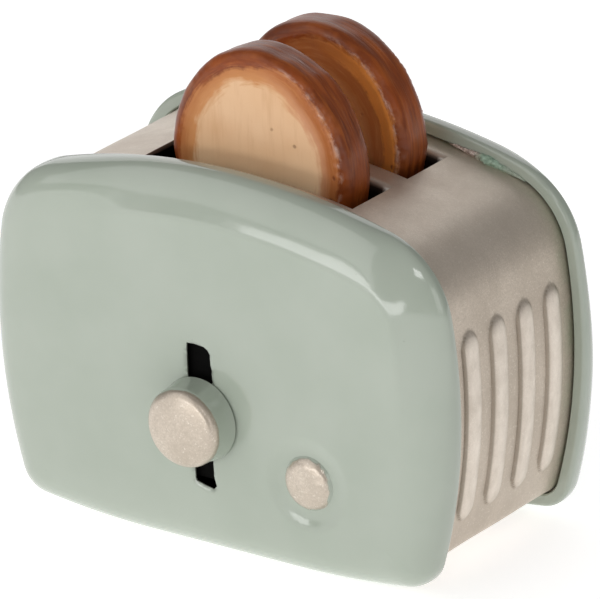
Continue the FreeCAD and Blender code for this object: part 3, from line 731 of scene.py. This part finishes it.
def makeSeamPaint():
    # rough bead of filler and paint along the back seam; its radius follows seeded waves and closes at both ends
    p = seamPaint
    onSeam = (outlineNormal[:, 1] > 0.3) & (outlineBase[:, 0] > p["from"]) & (outlineBase[:, 0] < p["to"])
    path, normal = outlineBase[onSeam], outlineNormal[onSeam]
    run = np.concatenate([[0], np.cumsum(np.linalg.norm(np.diff(path, axis=0), axis=1))])
    fine = np.linspace(0, run[-1], 110)
    path, normal = [np.stack([np.interp(fine, run, v[:, k]) for k in (0, 1)], 1) for v in (path, normal)]
    s = fine / run[-1]
    spin = np.linspace(0, 2 * np.pi, 22, endpoint=False)
    taper = np.sqrt(np.clip(np.sin(np.pi * s), 0, 1))
    radius = taper * (p["radius"] + p["blob"] * np.exp(-((s - p["blobAt"]) / 0.12) ** 2))
    rough = np.stack([np.repeat(fine, 22), np.tile(np.cos(spin), 110), np.tile(np.sin(spin), 110)], 1)
    radius = radius[:, None] * (1 + 0.3 * waves(rough, 1.1, 71, 3).reshape(110, 22))
    out = radius * np.cos(spin)
    back = radius * np.sin(spin) * 0.8
    flat = path[:, None] + (out[..., None] - p["inset"]) * normal[:, None]
    points = np.stack([flat[..., 0], p["y"] + back, flat[..., 1]], -1)
    faces = gridFaces(110, 22, wrapCols=True).tolist() + [list(range(22))[::-1], list(range(109 * 22, 110 * 22))]
    obj = newObject("seamPaint", points.reshape(-1, 3), faces, "housing")
    mergeClose(obj, 0.0005)
    faceOutwards(obj)
    return obj


# shader maths as expressions

class Val:
    # a socket; arithmetic on it adds Math nodes to its tree
    def __init__(self, tree, out):
        self.tree, self.out = tree, out

    def math(self, op, *others, clamp=False):
        n = self.tree.nodes.new("ShaderNodeMath")
        n.operation, n.use_clamp = op, clamp
        for socket, value in zip(n.inputs, (self,) + others):
            if isinstance(value, Val):
                self.tree.links.new(value.out, socket)
            else:
                socket.default_value = value
        return Val(self.tree, n.outputs[0])

    def flipped(self, op, other):
        n = self.tree.nodes.new("ShaderNodeMath")
        n.operation = op
        n.inputs[0].default_value = other
        self.tree.links.new(self.out, n.inputs[1])
        return Val(self.tree, n.outputs[0])

    def __add__(self, o): return self.math("ADD", o)
    def __radd__(self, o): return self.math("ADD", o)
    def __sub__(self, o): return self.math("SUBTRACT", o)
    def __rsub__(self, o): return self.flipped("SUBTRACT", o)
    def __mul__(self, o): return self.math("MULTIPLY", o)
    def __rmul__(self, o): return self.math("MULTIPLY", o)
    def __pow__(self, o): return self.math("POWER", o)
    def clamp(self): return self.math("ADD", 0.0, clamp=True)
    def above(self, low, high): return ((self - low) * (1 / (high - low))).clamp()


class Finish:
    # one material; node() makes any other node from its type, settings and inputs
    def __init__(self, name):
        self.material = bpy.data.materials.new(name)
        self.material.use_nodes = True
        self.tree = self.material.node_tree
        self.shader = self.tree.nodes["Principled BSDF"]
        self.place = self.node("TexCoord", {}, {}, "Object")

    def node(self, kind, settings, inputs, output=0):
        n = self.tree.nodes.new("ShaderNode" + kind)
        for key, value in settings.items():
            if key == "stops":
                ramp = n.color_ramp.elements
                while len(ramp) < len(value):
                    ramp.new(1.0)
                for element, (at, colour) in zip(ramp, value):
                    element.position, element.color = at, (*colour, 1)
            else:
                setattr(n, key, value)
        for key, value in inputs.items():
            if isinstance(value, Val):
                self.tree.links.new(value.out, n.inputs[key])
            else:
                n.inputs[key].default_value = value
        return Val(self.tree, n.outputs[output])

    def scaled(self, size, offset=(0, 0, 0), stretch=(1, 1, 1)):
        # object coordinates divided by a size in mm
        scale = [s / (size * milli) for s in stretch]
        return self.node("Mapping", {}, {"Vector": self.place, "Scale": scale, "Location": offset})

    def noise(self, size, detail=3.0, rough=0.55, offset=(0, 0, 0), stretch=(1, 1, 1)):
        return self.node("TexNoise", {}, {"Vector": self.scaled(size, offset, stretch), "Scale": 1.0,
                                          "Detail": detail, "Roughness": rough}, "Fac")

    def cells(self, size, feature="F1", output="Distance", stretch=(1, 1, 1)):
        return self.node("TexVoronoi", {"feature": feature},
                         {"Vector": self.scaled(size, stretch=stretch), "Scale": 1.0}, output)

    def mix(self, fac, a, b, blend="MIX"):
        n = self.tree.nodes.new("ShaderNodeMix")
        n.data_type, n.blend_type = "RGBA", blend
        for key, value in ((0, fac), (6, a), (7, b)):
            if isinstance(value, Val):
                self.tree.links.new(value.out, n.inputs[key])
            else:
                n.inputs[key].default_value = value if key == 0 else (*value, 1)
        return Val(self.tree, n.outputs[2])

    def split(self, vector):
        n = self.tree.nodes.new("ShaderNodeSeparateXYZ")
        self.tree.links.new(vector.out, n.inputs[0])
        return [Val(self.tree, o) for o in n.outputs]

    def bump(self, height, strength, distance, normal=None):
        inputs = {"Height": height, "Strength": strength, "Distance": distance * milli}
        if normal is not None:
            inputs["Normal"] = normal
        return self.node("Bump", {}, inputs, "Normal")

    def set(self, **sockets):
        for key, value in sockets.items():
            socket = self.shader.inputs[key.replace("_", " ")]
            if isinstance(value, Val):
                self.tree.links.new(value.out, socket)
            elif isinstance(value, tuple):
                socket.default_value = (*value, 1)
            else:
                socket.default_value = value
        return self


def srgb(r, g, b):
    # photo-like sRGB 0..255 to linear
    c = np.array([r, g, b]) / 255
    return tuple(np.where(c <= 0.04045, c / 12.92, ((c + 0.055) / 1.055) ** 2.4).tolist())


enamelLook = {
    "green": srgb(173, 181, 168),
    "shade": srgb(167, 176, 162),
    "roughness": 0.13,
    "peel": 0.9,
}
silverLook = {
    "light": srgb(216, 203, 188),
    "dark": srgb(180, 167, 151),
    "brown": srgb(140, 112, 88),
    "green": srgb(166, 176, 146),
}


def insideMask(finish):
    # 1 on the faces inside the case, from the mesh
    return finish.node("Attribute", {"attribute_name": "inside"}, {}, "Fac")


def enamelOn(finish):
    # base colour, roughness and bump of the green enamel
    cloud = finish.noise(9.0, 3.0)
    speck = finish.cells(1.7).above(0.07, 0.04) * finish.noise(4.0, 1.0, offset=(3, 1, 7)).above(0.6, 0.64)
    colour = finish.mix(cloud.above(0.35, 0.7), enamelLook["green"], enamelLook["shade"])
    colour = finish.mix(speck * 0.3, colour, srgb(120, 128, 112))
    peel = finish.noise(enamelLook["peel"], 2.0, 0.5)
    fine = finish.noise(0.22, 1.0, 0.5)
    rough = finish.noise(3.0, 3.0) * 0.06 + (enamelLook["roughness"] - 0.03)
    return colour, rough, peel * 1.0 + fine * 0.1


def silverOn(finish, grainSize=0.16, sparkle=0.35):
    # warm silver lacquer: fine grain, small flakes and cloudy darker patches
    grain = finish.noise(grainSize, 3.0, 0.7)
    coarse = finish.noise(grainSize * 3.1, 2.0, 0.6, offset=(5, 2, 8))
    flake = finish.split(finish.cells(grainSize * 0.8, output="Color"))[0]
    cloud = finish.noise(7.0, 4.0, 0.6, stretch=(1, 1, 0.7))
    colour = finish.mix(cloud.above(0.36, 0.68) * 0.7, silverLook["light"], silverLook["dark"])
    colour = finish.mix(grain.above(0.36, 0.64) * (0.35 + sparkle * 0.5), colour, silverLook["dark"])
    colour = finish.mix(coarse.above(0.5, 0.7) * 0.25, colour, silverLook["dark"])
    spark = flake.above(0.8, 1.0) * grain.above(0.42, 0.6)
    colour = finish.mix(spark * sparkle, colour, srgb(255, 248, 238))
    rough = 0.46 - spark * 0.08 + cloud * 0.08
    return colour, rough, grain * 1.0 + coarse * 0.5


def darkInside(finish, colour, rough):
    # painted shade: the inner faces are coloured dark, standing in for the shade inside the case
    mask = insideMask(finish)
    insideShade = finish.mix(finish.noise(1.4, 3.0).above(0.3, 0.7), srgb(34, 28, 24), srgb(56, 48, 40))
    return finish.mix(mask, colour, insideShade), rough * (1 - mask) + mask * 0.3, mask


def enamelCoverMaterial(name, paintButton):
    f = Finish(name)
    colour, rough, height = enamelOn(f)
    metal = 0.0
    if paintButton:
        # hand-painted silver on the boss, with an uneven edge
        x, y, z = f.split(f.place)
        dx = x * (1 / milli) - button["x"]
        dz = z * (1 / milli) - button["z"]
        d = (dx * dx + dz * dz) ** 0.5
        edge = f.noise(1.7, 2.0, offset=(5, 0, 3)) * 0.9 - 0.45
        mask = (d + edge).above(button["radius"] + 0.06, button["radius"] - 0.06)
        silver, silverRough, silverHeight = silverOn(f, 0.17, 0.45)
        colour = f.mix(mask, colour, silver)
        rough = rough * (1 - mask) + silverRough * mask * 0.75
        height = height * (1 - mask) + silverHeight * mask * 0.5
        metal = mask * 0.7
    colour, rough, mask = darkInside(f, colour, rough)
    f.set(Base_Color=colour, Roughness=rough, Metallic=metal, Coat_Weight=0.5, Coat_Roughness=0.05, IOR=1.5)
    f.set(Normal=f.bump(height, 0.2, 0.05))
    return f.material


def knobMaterial():
    f = Finish("knobPaint")
    colour, rough, height = enamelOn(f)
    silver, silverRough, silverHeight = silverOn(f, 0.17, 0.45)
    x, y, z = f.split(f.place)
    depth = y * (1 / milli) - knob["front"]
    # silver reaches further down the skirt at the lower right
    tilt = (x * (1 / milli) - knob["x"]) * 0.05 - (z * (1 / milli) - knob["z"]) * 0.05
    line = f.noise(1.6, 2.0, offset=(1, 4, 2)) * 0.36 - 0.18 + tilt
    mask = (depth - line).above(1.16, 1.08)
    colour = f.mix(mask, colour, silver)
    # painted shade: a darker brown band along the silver's edge, where the rounded rim turns away from the light
    edge = (depth - line).above(0.86, 1.06) * mask * 0.35
    colour = f.mix(edge, colour, srgb(120, 104, 90))
    f.set(Base_Color=colour, Roughness=rough * (1 - mask) + silverRough * mask * 0.75, Metallic=mask * 0.7)
    f.set(Coat_Weight=0.4, Coat_Roughness=0.08, IOR=1.5)
    f.set(Normal=f.bump(height * (1 - mask) + silverHeight * mask * 0.5, 0.25, 0.05))
    return f.material


def bandMaterial():
    f = Finish("bandLacquer")
    colour, rough, height = silverOn(f)
    x, y, z = f.split(f.place)
    xm, ym, zm = x * (1 / milli), y * (1 / milli), z * (1 / milli)
    # brown haze by the bread slots, lighter towards the bottom of the sides, a painted light band along the top, and a
    # green overspray line along the back seam
    top = zm.above(30.5, 34.0)
    nearSlot = (ym - (midY + slots["setback"])).math("ABSOLUTE").above(10.0, 7.0) * top
    haze = f.noise(3.5, 3.0, offset=(7, 2, 1)).above(0.36, 0.7) * nearSlot
    colour = f.mix(haze * 0.6, colour, silverLook["brown"])
    colour = f.mix(zm.above(24.0, 8.0) * 0.15, colour, srgb(232, 220, 206))
    # painted light: the band is coloured lighter along the top
    colour = f.mix(zm.above(27.0, 31.0) * 0.38, colour, srgb(236, 224, 210))
    # painted highlight on the rib crests, mottled, and painted shade along each rib's front-facing flank
    crest = f.node("Attribute", {"attribute_name": "crest"}, {}, "Fac")
    flank = f.node("Attribute", {"attribute_name": "flank"}, {}, "Fac")
    crestHighlight = crest.above(0.25, 0.95) * (f.noise(1.1, 3.0, 0.6, stretch=(1, 1, 0.6)).above(0.3, 0.7) * 0.35 + 0.3)
    colour = f.mix(crestHighlight, colour, srgb(250, 240, 228))
    colour = f.mix(flank.above(1.0, 2.4) * 0.6, colour, srgb(120, 106, 90))
    # painted glint: the folded lips are coloured near-white at the ends of the bread slots
    fold = insideMask(f)
    lipGlint = fold.above(0.02, 0.2) * fold.above(0.999, 0.97) * xm.above(10.8, 11.2)
    seam = ym.above(bandHigh[1] - 2.6, bandHigh[1] - 0.9)
    over = f.noise(2.2, 3.0, offset=(4, 8, 3)).above(0.35, 0.7) * seam
    colour = f.mix(over * 0.6, colour, silverLook["green"])
    colour, rough, mask = darkInside(f, colour, rough)
    colour = f.mix(lipGlint, colour, srgb(255, 250, 240))
    f.set(Base_Color=colour, Roughness=rough - lipGlint * 0.2, Metallic=(1 - lipGlint) * 0.72)
    f.set(Coat_Weight=0.15, Coat_Roughness=0.22)
    f.set(Normal=f.bump(height * (1 - mask), 0.5, 0.05))
    return f.material


crumbLook = {
    "face": srgb(234, 194, 154),
    "faceWarm": srgb(224, 178, 134),
    "faceStroke": srgb(204, 152, 106),
    "deepOrange": srgb(170, 92, 34),
    "orange": srgb(202, 136, 80),
    "rose": srgb(216, 160, 124),
    "crust": srgb(150, 72, 28),
    "crustDark": srgb(110, 50, 18),
    "crustLight": srgb(188, 104, 44),
}


def toastMaterial(name, seed, node, deepShadedBand):
    # zones by distance e from the crust's corner: crust, orange-brown band, beige crumb, each with an uneven edge
    f = Finish(name)
    e = f.node("Attribute", {"attribute_name": "fromEdge"}, {}, "Fac")
    path = f.node("Attribute", {"attribute_name": "strokes"}, {}, "Vector")
    x, y, z = f.split(f.place)
    across = x * (1 / milli)
    # only the face turned to the front carries the deep band: wider and darker orange-brown, partly the paint's own
    # colour and partly painted shade from the front slice before it
    middle = (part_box(node)[0].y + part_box(node)[1].y) / 2 / milli
    shadedDeepSide = (y * (1 / milli)).above(middle + 0.5, middle - 0.5) * (1.0 if deepShadedBand else 0.0)

    def strokes(across, along, detail, rough, shift):
        spot = f.node("Mapping", {}, {"Vector": path, "Scale": (1 / across, 1 / along, 1), "Location": (seed, shift, 0)})
        return f.node("TexNoise", {}, {"Vector": spot, "Scale": 1.0, "Detail": detail, "Roughness": rough}, "Fac")

    o = (seed, seed * 2.0, 1.0)
    wob = f.noise(2.6, 3.0, offset=o) - 0.5
    ragged = f.noise(0.8, 4.0, 0.65, offset=o) - 0.5
    upright = f.noise(0.8, 3.0, 0.6, offset=o, stretch=(1, 1, 0.12))
    brush = strokes(0.35, 4.5, 4.0, 0.6, 1.0)
    broad = strokes(1.3, 7.0, 3.0, 0.6, 5.0)
    face = f.mix(f.noise(6.0, 2.0, offset=o).above(0.35, 0.75), crumbLook["face"], crumbLook["faceWarm"])
    face = f.mix(upright.above(0.5, 0.85) * 0.5, face, crumbLook["faceStroke"])
    # painted light: the face is coloured lighter low down by the slot, against the shade the case casts there
    face = f.mix((z * (1 / milli)).above(38.0, 33.5) * 0.7, face, srgb(255, 222, 180))
    pit = f.cells(2.3).above(0.1, 0.05) * f.noise(3.0, 1.0, offset=o).above(0.5, 0.56)
    face = f.mix(pit * 0.55, face, srgb(120, 78, 50))
    rightSide = across.above(1.0, 6.5)
    bandEdge = wob * 1.3 + ragged * 0.6 + (broad - 0.5) * 1.8 + (brush - 0.5) * 0.8
    bandWidth = rightSide * 0.4 + shadedDeepSide * 3.6 + 2.9
    bandMask = (e + bandEdge + (brush - 0.5) * 0.6 - bandWidth).above(0.4, -0.4)
    pale = f.mix(rightSide * (0.85 - shadedDeepSide * 0.7), crumbLook["orange"], crumbLook["rose"])
    deep = (e * -1.0 - bandEdge * 0.5 + rightSide * 0.7 + shadedDeepSide * 2.0 + 2.5).above(0.0, 1.5)
    bandColour = f.mix(deep, pale, crumbLook["deepOrange"])
    bandColour = f.mix(brush.above(0.5, 0.75) * 0.5, bandColour, crumbLook["orange"])
    colour = f.mix(bandMask * 0.92, face, bandColour)
    strip = (ragged * 0.9 + (brush - 0.5) * 0.8 + 2.6 - e).above(0.0, 0.4) * rightSide * shadedDeepSide
    colour = f.mix(strip * 0.85, colour, srgb(226, 142, 66))
    # pits by the glossy torn ridge along the right corner
    nearRidge = e.above(0.95, 1.3) * e.above(2.5, 2.0) * across.above(3.0, 5.5)
    hollow = f.cells(1.5).above(0.22, 0.12) * f.noise(2.0, 1.0, offset=o).above(0.46, 0.54) * nearRidge
    colour = f.mix(hollow * 0.85, colour, srgb(128, 66, 34))
    crustWidth = across.above(4.0, -1.0) * 0.7 - across.above(-3.0, -8.0) * 0.4 + 0.85
    crustMask = (e + wob * 0.7 + ragged * 0.7 + (brush - 0.5) * 0.9 - crustWidth).above(0.2, -0.2)
    crust = f.mix(broad.above(0.35, 0.65), crumbLook["crust"], crumbLook["crustDark"])
    crust = f.mix(brush.above(0.45, 0.75) * 0.6, crust, crumbLook["crustLight"])
    colour = f.mix(crustMask, colour, crust)
    # painted highlight along the glossy torn ridge at the right corner, with a real bump and coat
    torn = strokes(0.4, 1.8, 4.0, 0.65, 9.0).above(0.46, 0.58)
    ridgeHighlight = e.above(0.45, 0.65) * e.above(1.05, 0.8) * across.above(1.5, 4.5) * torn
    colour = f.mix(ridgeHighlight * 0.32, colour, srgb(226, 186, 164))
    height = brush * (crustMask * 0.7 + 0.3) + upright * 0.25 + ragged * 0.5 - pit * 1.4 - hollow * 1.5 + ridgeHighlight * 0.6
    f.set(Base_Color=colour, Roughness=0.42 - crustMask * 0.06 + (brush - 0.5) * 0.2 - ridgeHighlight * 0.2)
    sheen = broad.above(0.4, 0.7) * crustMask * 0.3 + ridgeHighlight * 0.6 + 0.04
    f.set(Coat_Weight=sheen, Coat_Roughness=0.22, Specular_IOR_Level=0.25)
    f.set(Normal=f.bump(height, 0.45, 0.1))
    return f.material


def seamPaintMaterial():
    # pinkish filler with flecks of metal, mint paint smeared over its middle
    f = Finish("seamPaint")
    x, y, z = f.split(f.place)
    across = x * (1 / milli) + f.noise(1.2, 3.0) * 2.4 - 1.2
    middle = across.above(13.8, 14.6)
    fleck = f.noise(0.3, 4.0, 0.7)
    colour = f.mix(fleck.above(0.36, 0.6), srgb(128, 108, 98), srgb(226, 210, 200))
    mint = f.mix(fleck.above(0.35, 0.65), srgb(126, 156, 132), srgb(172, 202, 180))
    mint = f.mix(across.above(16.4, 17.6) * 0.7, mint, srgb(172, 180, 164))
    colour = f.mix(middle * 0.9, colour, mint)
    f.set(Base_Color=colour, Roughness=0.5 - fleck * 0.3, Metallic=(1 - middle) * 0.4)
    f.set(Normal=f.bump(fleck, 0.8, 0.12))
    return f.material


def steelMaterial(name, colour, rough, stretch, metallic=0.95):
    f = Finish(name)
    line = f.noise(0.5, 3.0, 0.6, stretch=stretch)
    cloud = f.noise(4.0, 3.0)
    base = f.mix(line.above(0.35, 0.7) * 0.5, colour, tuple(c * 0.7 for c in colour))
    base = f.mix(cloud.above(0.5, 0.8) * 0.3, base, tuple(c * 0.6 for c in colour))
    f.set(Base_Color=base, Roughness=line * 0.2 + rough, Metallic=metallic, Normal=f.bump(line, 0.2, 0.03))
    f.set(Specular_IOR_Level=0.5 if metallic > 0.5 else 0.08)
    return f.material


def dress(obj, material):
    obj.data.materials.clear()
    obj.data.materials.append(material)


print("shapes")
bandSkin = makeBand()
frontSkin = makeCover("frontSkin", "front_cover", coverHigh[1] - cover["depth"], 1, False)
backSkin = makeCover("backSkin", "back_cover", backLow[1] + cover["depth"], -1, True)
knobSkin = makeKnob()
frontToast = makeToast("frontToast", "toast_front", 31)
backToast = makeToast("backToast", "toast_back", 47)
seamBead = makeSeamPaint()

print("finishes")
dress(frontSkin, enamelCoverMaterial("frontEnamel", True))
dress(backSkin, enamelCoverMaterial("backEnamel", False))
dress(knobSkin, knobMaterial())
dress(bandSkin, bandMaterial())
dress(seamBead, seamPaintMaterial())
dress(frontToast, toastMaterial("frontToastPaint", 3.0, "toast_front", False))
dress(backToast, toastMaterial("backToastPaint", 11.0, "toast_back", True))
# painted shade: the inner sheet parts are near-black so the view into the slots reads as dark
shadeBlackSteel = steelMaterial("shadeBlackSheet", (0.003, 0.0028, 0.0026), 0.7, (0.06, 1, 1), 0.2)
brightSteel = steelMaterial("drawnRod", (0.52, 0.52, 0.5), 0.2, (1, 1, 0.05))
dullSteel = steelMaterial("rivetSteel", (0.35, 0.35, 0.34), 0.38, (1, 1, 1))
brass = steelMaterial("turnedBrass", (0.6, 0.42, 0.16), 0.25, (1, 1, 0.2))
finishOf = {
    "base_plate": shadeBlackSteel, "rod_bracket": shadeBlackSteel, "lever_plate": shadeBlackSteel, "toast_tray": shadeBlackSteel,
    "lever_stem": shadeBlackSteel, "guide_rod_left": brightSteel, "guide_rod_right": brightSteel,
    "friction_washer": brightSteel, "base_rivets": dullSteel, "tray_rivets": dullSteel, "guide_bushes": brass,
}
for node, material in finishOf.items():
    dress(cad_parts[node], material)


stage = {
    "azimuth": 36.0,
    "elevation": 22.38,
    "roll": -1.72,
    "distance": 788.3,
    "lens": 8691.8 / 600 * 36,
    "centreY": midY,
    "targetZ": 18.31,
    "shiftX": (300 - 296.0) / 600,
    "shiftY": (320.5 - 299.5) / 600,
    "world": 0.24,
    "floorGlow": 0.64,
    "lamps": [
        {"name": "frontPanel", "place": (-0.35, -0.6, 0.5), "aim": (0, 0, 0.03), "size": (0.92, 0.7), "power": 1.9},
        {"name": "lowStrip", "place": (-0.075, -0.716, 0.08), "aim": (0, 0, 0.03), "size": (0.68, 0.12), "power": 1.0},
        {"name": "rightBox", "place": (0.62, -0.3, 0.2), "aim": (0, 0, 0.03), "size": (0.26, 0.3), "power": 0.3},
        {"name": "eyeBox", "place": (0.4, -0.52, 0.49), "aim": (0, 0, 0.03), "size": (0.18, 0.12), "power": 0.35},
        {"name": "backBox", "place": (-0.4, 0.62, 0.38), "aim": (0, 0, 0.03), "size": (0.9, 0.66), "power": 1.9},
    ],
}


def makeCamera():
    s = stage
    az, el, roll = [math.radians(s[k]) for k in ("azimuth", "elevation", "roll")]
    back = Vector((math.sin(az) * math.cos(el), -math.cos(az) * math.cos(el), math.sin(el)))
    right = Vector((math.cos(az), math.sin(az), 0))
    up = back.cross(right)
    right, up = right * math.cos(roll) + up * math.sin(roll), up * math.cos(roll) - right * math.sin(roll)
    data = bpy.data.cameras.new("camera")
    data.sensor_width, data.lens = 36, s["lens"]
    data.shift_x, data.shift_y = s["shiftX"], s["shiftY"]
    data.clip_start, data.clip_end = 0.01, 10
    cam = bpy.data.objects.new("camera", data)
    bpy.context.scene.collection.objects.link(cam)
    place = Vector((0, s["centreY"] * milli, s["targetZ"] * milli)) + back * s["distance"] * milli
    turn = Matrix((right, up, back)).transposed()
    cam.matrix_world = Matrix.Translation(place) @ turn.to_4x4()
    bpy.context.scene.camera = cam


def areaLight(name, place, aim, size, power, colour=(1, 1, 1)):
    data = bpy.data.lights.new(name, "AREA")
    data.shape, data.size, data.size_y = "RECTANGLE", size[0], size[1]
    data.energy, data.color = power, colour
    lamp = bpy.data.objects.new(name, data)
    bpy.context.scene.collection.objects.link(lamp)
    lamp.location = place
    lamp.rotation_mode = "QUATERNION"
    lamp.rotation_quaternion = (Vector(aim) - Vector(place)).to_track_quat("-Z", "Y")


def makeStage():
    bpy.ops.mesh.primitive_plane_add(size=6.0, location=(0, 0, 0))
    floor = bpy.context.object
    floor.name = "floor"
    f = Finish("paleFloor")
    f.set(Base_Color=f.mix(f.noise(30.0, 2.0).above(0.3, 0.7), (0.86, 0.86, 0.86), (0.85, 0.85, 0.85)), Roughness=0.7)
    f.set(Emission_Color=(1.0, 1.0, 1.0), Emission_Strength=stage["floorGlow"])
    dress(floor, f.material)
    world = bpy.data.worlds.new("studio")
    world.use_nodes = True
    world.node_tree.nodes["Background"].inputs[0].default_value = (1.0, 1.0, 1.0, 1)
    world.node_tree.nodes["Background"].inputs[1].default_value = stage["world"]
    bpy.context.scene.world = world
    bpy.context.scene.view_settings.view_transform = "Standard"
    for lamp in stage["lamps"]:
        areaLight(**lamp)


makeCamera()
makeStage()
print("camera and lights")
